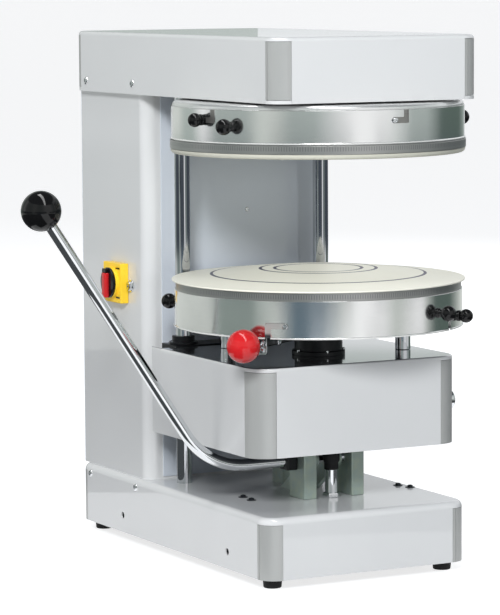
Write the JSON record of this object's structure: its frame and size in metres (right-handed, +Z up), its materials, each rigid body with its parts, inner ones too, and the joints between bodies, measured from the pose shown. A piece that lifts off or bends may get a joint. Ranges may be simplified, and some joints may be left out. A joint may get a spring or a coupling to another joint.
{
  "type": "pizza dough spreader",
  "caption": "Bench-top pizza dough spreader: a hand lever lifts a carriage with a turning lower disc, on guide bars, up to a belt-driven upper disc with rollers under an overhung head.",
  "frame": {"origin": "on the bench plane, under the centre of the base", "axes": "+Z up, -Y to the front where the discs overhang, +X to the operator's right, away from the lever"},
  "size_m": [0.7438, 0.7446, 0.82],
  "materials": {
    "silver_paint": "satin silver-grey",
    "column_panel": "satin blue-grey",
    "corner_strip": "satin, warm grey",
    "zinc_plate": "zinc plated",
    "black_rubber": "matte",
    "black_plastic": "matte",
    "chrome": "polished",
    "bearing_steel": "ground",
    "cast_housing": "painted casting",
    "pulley_alloy": "machined",
    "pan_alloy": "satin",
    "skirt_steel": "bright rolled",
    "cream_plate": "smooth, cream",
    "white_roller": "smooth, white",
    "black_alloy": "black anodised",
    "black_knob": "glossy",
    "red_knob": "glossy",
    "yellow_plate": "satin"
  },
  "bodies": {
    "frame": {"base_housing": "silver_paint", "corner_profiles": "corner_strip", "base_plate": "zinc_plate", "rubber_feet": "black_rubber", "column_cover": "silver_paint", "column_panels": "column_panel", "cable_gland": "black_plastic", "head_housing": "silver_paint", "head_floor": "zinc_plate", "guide_bars": "chrome", "bar_sockets": "zinc_plate", "motor_body": "cast_housing", "drive_belt": "black_rubber", "spindle_housing": "cast_housing", "spindle_bearings": "bearing_steel", "upper_pan": "pan_alloy", "upper_pins": "bearing_steel", "lift_blocks": "zinc_plate", "stop_post": "chrome", "stop_buffer": "black_rubber", "switch_plate": "yellow_plate", "switch_body": "black_plastic"},
    "carriage": {"carriage_housing": "silver_paint", "carriage_corner_profiles": "corner_strip", "carriage_floor": "zinc_plate", "slide_block": "black_alloy", "guide_bushes": "black_alloy", "lower_hub": "black_alloy", "support_posts": "chrome", "lower_bearings": "bearing_steel", "lower_pan": "pan_alloy", "lower_pins": "bearing_steel", "lift_yoke": "zinc_plate"},
    "lever": {"lever_shaft": "chrome", "shaft_collar": "chrome", "lever_hub": "black_knob", "lever_rod": "chrome", "lever_ball": "black_knob", "crank": "zinc_plate", "crank_roller": "bearing_steel"},
    "upper_rotor": {"upper_plate": "cream_plate", "upper_backing": "pan_alloy", "spindle": "bearing_steel", "spindle_pulley": "pulley_alloy"},
    "motor_rotor": {"motor_shaft": "bearing_steel", "motor_pulley": "pulley_alloy"},
    "upper_drum": {"upper_skirt": "skirt_steel", "upper_handles": "black_knob"},
    "lower_drum": {"lower_skirt": "skirt_steel", "lower_handles": "black_knob"},
    "lower_turntable": {"lower_plate": "cream_plate", "lower_spindle": "bearing_steel"},
    "lock_lever": {"lock_arm": "black_alloy", "lock_ball": "red_knob"},
    "switch_knob": {"switch_handle": "red_knob"},
    "side_screw": {"side_knob": "chrome"},
    "roller_1": {"roller_1": "white_roller"},
    "roller_2": {"roller_2": "white_roller"},
    "roller_3": {"roller_3": "white_roller"},
    "roller_4": {"roller_4": "white_roller"}
  },
  "joints": [
    {"name": "carriage_lift", "type": "slide", "parent": "frame", "child": "carriage", "axis": [0, 0, 1], "range_m": [0, 0.18]},
    {"name": "lever_pull", "type": "hinge", "parent": "frame", "child": "lever", "pos_m": [0.01125, -0.166, 0.166], "axis": [1, 0, 0], "range_deg": [0, 73.75]},
    {"name": "upper_spin", "type": "hinge", "parent": "frame", "child": "upper_rotor", "pos_m": [0, -0.17102, 0.7], "axis": [0, 0, 1], "continuous": true},
    {"name": "motor_spin", "type": "hinge", "parent": "frame", "child": "motor_rotor", "pos_m": [0, 0.212, 0.74], "axis": [0, 0, 1], "continuous": true},
    {"name": "lower_spin", "type": "hinge", "parent": "carriage", "child": "lower_turntable", "pos_m": [0, -0.17102, 0.4], "axis": [0, 0, 1], "continuous": true},
    {"name": "upper_drum_turn", "type": "hinge", "parent": "frame", "child": "upper_drum", "pos_m": [0, -0.17102, 0.69], "axis": [0, 0, 1], "range_deg": [-5.3, 0]},
    {"name": "lower_drum_turn", "type": "hinge", "parent": "carriage", "child": "lower_drum", "pos_m": [0, -0.17102, 0.41], "axis": [0, 0, 1], "range_deg": [0, 7]},
    {"name": "lock_turn", "type": "hinge", "parent": "carriage", "child": "lock_lever", "pos_m": [0, -0.17102, 0.368], "axis": [0, 0, 1], "range_deg": [0, 30]},
    {"name": "switch_turn", "type": "hinge", "parent": "frame", "child": "switch_knob", "pos_m": [-0.185, 0.186, 0.419], "axis": [1, 0, 0], "range_deg": [0, 90]},
    {"name": "side_knob_turn", "type": "hinge", "parent": "carriage", "child": "side_screw", "pos_m": [0.178, -0.23002, 0.252], "axis": [1, 0, 0], "continuous": true},
    {"name": "roller_1_spin", "type": "hinge", "parent": "upper_rotor", "child": "roller_1", "pos_m": [0.10607, -0.06496, 0.65063], "axis": [0.703, 0.703, -0.1076], "continuous": true},
    {"name": "roller_2_spin", "type": "hinge", "parent": "upper_rotor", "child": "roller_2", "pos_m": [-0.10607, -0.06496, 0.65063], "axis": [-0.703, 0.703, -0.1076], "continuous": true},
    {"name": "roller_3_spin", "type": "hinge", "parent": "upper_rotor", "child": "roller_3", "pos_m": [-0.10607, -0.27709, 0.65063], "axis": [-0.703, -0.703, -0.1076], "continuous": true},
    {"name": "roller_4_spin", "type": "hinge", "parent": "upper_rotor", "child": "roller_4", "pos_m": [0.10607, -0.27709, 0.65063], "axis": [0.703, -0.703, -0.1076], "continuous": true}
  ],
  "couplings": [
    {"joint": "lever_pull", "follows": "carriage_lift", "rad_per_m": 7.15},
    {"joint": "motor_spin", "follows": "upper_spin", "ratio": 2}
  ]
}
